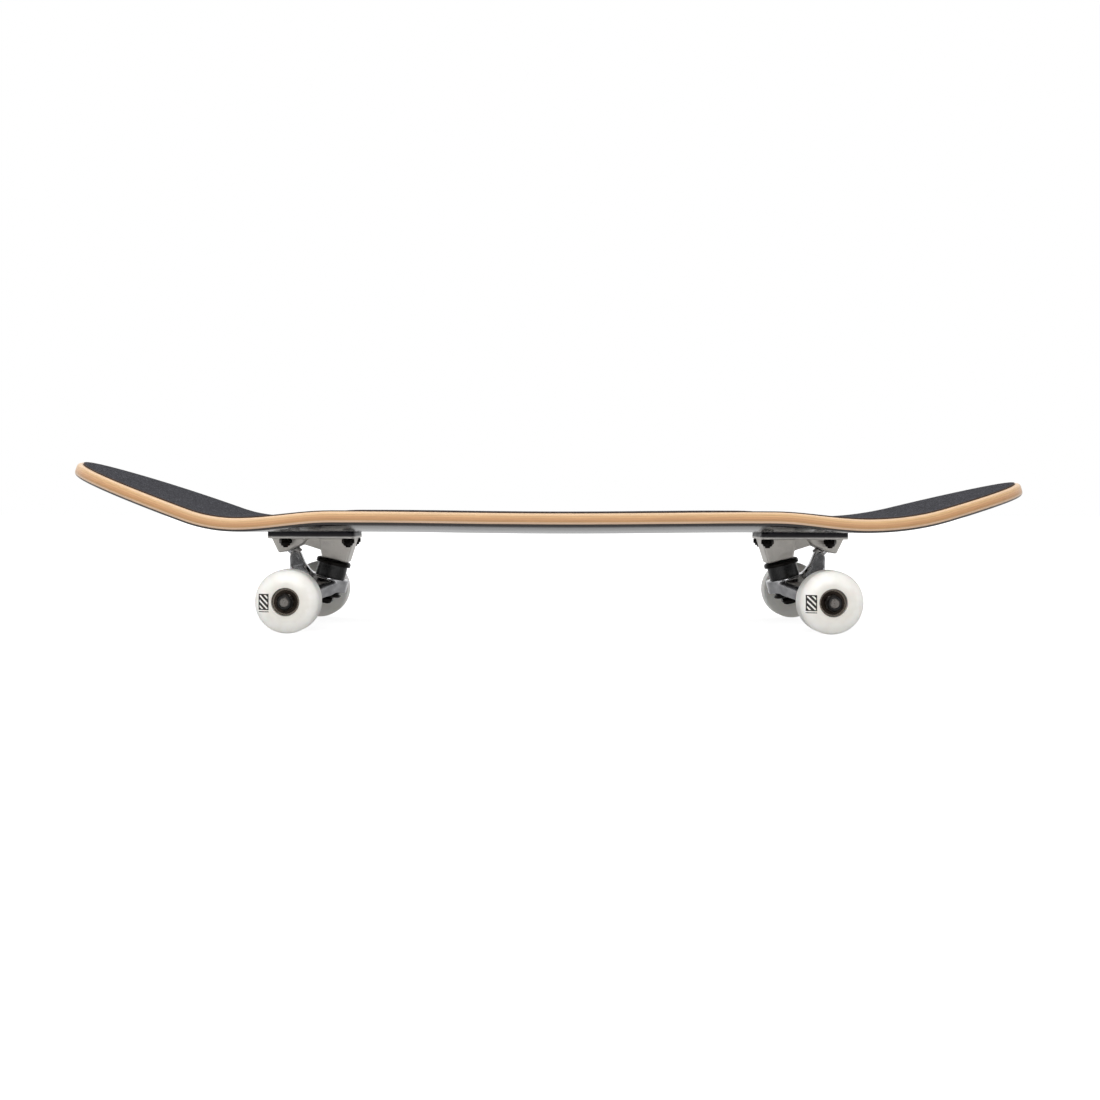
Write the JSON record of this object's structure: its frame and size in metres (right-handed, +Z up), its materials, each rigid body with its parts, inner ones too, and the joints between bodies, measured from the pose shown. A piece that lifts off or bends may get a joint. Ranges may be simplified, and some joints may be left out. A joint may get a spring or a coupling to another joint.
{
  "type": "skateboard",
  "caption": "Popsicle-shaped wooden skateboard with black grip tape, two steering trucks and four white wheels on ball bearings.",
  "frame": {"origin": "on the ground, under the middle of the board's length and width", "axes": "+X from the nose to the tail along the board, +Y to the rider's right when facing the nose, +Z up"},
  "size_m": [0.8236, 0.2096, 0.1415],
  "materials": {
    "maple": "satin lacquer over seven maple plies, the lowest ply black",
    "grit": "silicon-carbide grit",
    "cast_aluminium": "tumbled casting",
    "polished_aluminium": "polished casting",
    "white_urethane": "moulded, satin",
    "black_urethane": "moulded, satin",
    "nylon": "moulded",
    "steel": "ground and zinc plated",
    "black_steel": "black oxide"
  },
  "bodies": {
    "board": {"deck": "maple", "grip_tape": "grit", "nose_baseplate": "cast_aluminium", "nose_pivot_cup": "nylon", "nose_kingpin": "black_steel", "nose_boardside_washer": "black_steel", "nose_boardside_bushing": "black_urethane", "nose_roadside_bushing": "black_urethane", "nose_roadside_washer": "black_steel", "nose_kingpin_nut": "black_steel", "nose_inner_left_bolt": "black_steel", "nose_inner_left_nut": "black_steel", "nose_inner_right_bolt": "black_steel", "nose_inner_right_nut": "black_steel", "nose_outer_left_bolt": "black_steel", "nose_outer_left_nut": "black_steel", "nose_outer_right_bolt": "black_steel", "nose_outer_right_nut": "black_steel", "tail_baseplate": "cast_aluminium", "tail_pivot_cup": "nylon", "tail_kingpin": "black_steel", "tail_boardside_washer": "black_steel", "tail_boardside_bushing": "black_urethane", "tail_roadside_bushing": "black_urethane", "tail_roadside_washer": "black_steel", "tail_kingpin_nut": "black_steel", "tail_inner_left_bolt": "black_steel", "tail_inner_left_nut": "black_steel", "tail_inner_right_bolt": "black_steel", "tail_inner_right_nut": "black_steel", "tail_outer_left_bolt": "black_steel", "tail_outer_left_nut": "black_steel", "tail_outer_right_bolt": "black_steel", "tail_outer_right_nut": "black_steel"},
    "nose_hanger_assembly": {"nose_hanger": "polished_aluminium", "nose_axle": "steel", "nose_left_speed_washer": "steel", "nose_left_axle_nut": "black_steel", "nose_right_speed_washer": "steel", "nose_right_axle_nut": "black_steel"},
    "nose_left_wheel_assembly": {"nose_left_wheel": "white_urethane", "nose_left_inner_bearing": "steel", "nose_left_outer_bearing": "steel"},
    "nose_right_wheel_assembly": {"nose_right_wheel": "white_urethane", "nose_right_inner_bearing": "steel", "nose_right_outer_bearing": "steel"},
    "tail_hanger_assembly": {"tail_hanger": "polished_aluminium", "tail_axle": "steel", "tail_left_speed_washer": "steel", "tail_left_axle_nut": "black_steel", "tail_right_speed_washer": "steel", "tail_right_axle_nut": "black_steel"},
    "tail_left_wheel_assembly": {"tail_left_wheel": "white_urethane", "tail_left_inner_bearing": "steel", "tail_left_outer_bearing": "steel"},
    "tail_right_wheel_assembly": {"tail_right_wheel": "white_urethane", "tail_right_inner_bearing": "steel", "tail_right_outer_bearing": "steel"}
  },
  "joints": [
    {"name": "nose_truck_steer", "type": "hinge", "parent": "board", "child": "nose_hanger_assembly", "pos_m": [-0.22812, 0, 0.069], "axis": [-0.727, 0, 0.6867], "range_deg": [-12, 12], "stiffness_Nm_per_rad": 140, "deforming": ["nose_boardside_bushing", "nose_roadside_bushing"]},
    {"name": "nose_left_wheel_spin", "type": "hinge", "parent": "nose_hanger_assembly", "child": "nose_left_wheel_assembly", "pos_m": [-0.21318, -0.0835, 0.026], "axis": [0, 1, 0], "continuous": true},
    {"name": "nose_right_wheel_spin", "type": "hinge", "parent": "nose_hanger_assembly", "child": "nose_right_wheel_assembly", "pos_m": [-0.21318, 0.0835, 0.026], "axis": [0, 1, 0], "continuous": true},
    {"name": "tail_truck_steer", "type": "hinge", "parent": "board", "child": "tail_hanger_assembly", "pos_m": [0.24283, 0, 0.069], "axis": [0.727, 0, 0.6867], "range_deg": [-12, 12], "stiffness_Nm_per_rad": 140, "deforming": ["tail_boardside_bushing", "tail_roadside_bushing"]},
    {"name": "tail_left_wheel_spin", "type": "hinge", "parent": "tail_hanger_assembly", "child": "tail_left_wheel_assembly", "pos_m": [0.22787, -0.0835, 0.026], "axis": [0, 1, 0], "continuous": true},
    {"name": "tail_right_wheel_spin", "type": "hinge", "parent": "tail_hanger_assembly", "child": "tail_right_wheel_assembly", "pos_m": [0.22787, 0.0835, 0.026], "axis": [0, 1, 0], "continuous": true}
  ]
}
